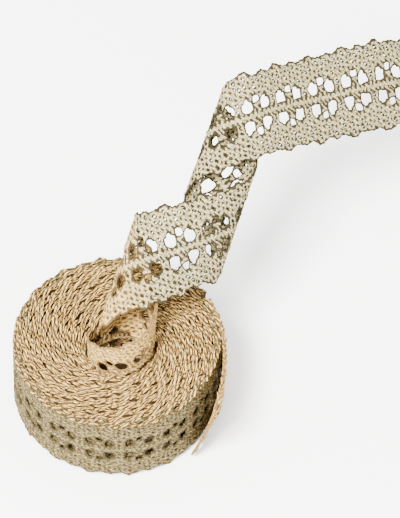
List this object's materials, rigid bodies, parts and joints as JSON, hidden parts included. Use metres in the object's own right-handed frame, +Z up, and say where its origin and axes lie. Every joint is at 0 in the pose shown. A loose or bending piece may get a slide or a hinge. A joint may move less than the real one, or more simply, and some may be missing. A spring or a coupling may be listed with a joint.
{
  "type": "spool of lace ribbon",
  "caption": "Roll of scalloped cotton lace ribbon standing on its edge, with the inner end pulled out of the core in a twist and the outer end loose.",
  "frame": {"origin": "middle of the flat underside of the wound roll, on the surface it rests on", "axes": "+Z up along the axis of the roll, +X towards the side where the outer end leaves and the pulled end runs off, +Y towards the back"},
  "size_m": [0.2848, 0.2442, 0.1195],
  "materials": {
    "cotton_lace": "matte"
  },
  "bodies": {
    "root": {"wound_roll": "cotton_lace", "pulled_inner_end": "cotton_lace", "outer_loose_end": "cotton_lace"}
  },
  "joints": []
}
